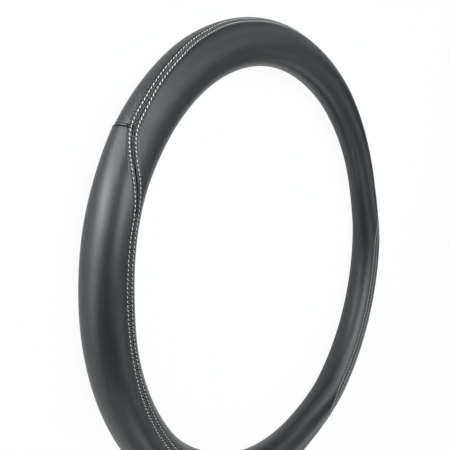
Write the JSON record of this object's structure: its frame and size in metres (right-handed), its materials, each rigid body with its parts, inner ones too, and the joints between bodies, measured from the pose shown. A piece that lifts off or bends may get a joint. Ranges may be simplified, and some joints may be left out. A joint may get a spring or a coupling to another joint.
{
  "type": "steering wheel cover",
  "caption": "Leather cover for a steering wheel rim: a ring with a C-shaped section, a rubber lining and a double row of topstitching.",
  "frame": {"origin": "centre of the ring, on the plane that its flat back rests on", "axes": "+Z along the axis of the ring, towards the front that the driver sees; +Y towards twelve o'clock; +X towards three o'clock"},
  "size_m": [0.3742, 0.3802, 0.0299],
  "materials": {
    "leather": "smooth black leather with a fine grain and a soft sheen",
    "foam": "dark grey open-cell foam with a knitted face",
    "liner_rubber": "matt black moulded rubber with a fine anti-slip pattern",
    "webbing": "thin black woven tape",
    "black_thread": "waxed black twisted thread",
    "white_thread": "off-white twisted polyester thread"
  },
  "bodies": {
    "root": {"inner_panel": "leather", "top_panel": "leather", "bottom_panel": "leather", "left_grip_panel": "leather", "right_grip_panel": "leather", "inner_foam": "foam", "top_foam": "foam", "bottom_foam": "foam", "left_grip_foam": "foam", "right_grip_foam": "foam", "rubber_liner": "liner_rubber", "seam_tape": "webbing", "closing_thread": "black_thread", "inner_topstitch": "white_thread", "outer_topstitch": "white_thread", "upper_left_welt": "leather", "upper_right_welt": "leather", "lower_left_welt": "leather", "lower_right_welt": "leather"}
  },
  "joints": []
}
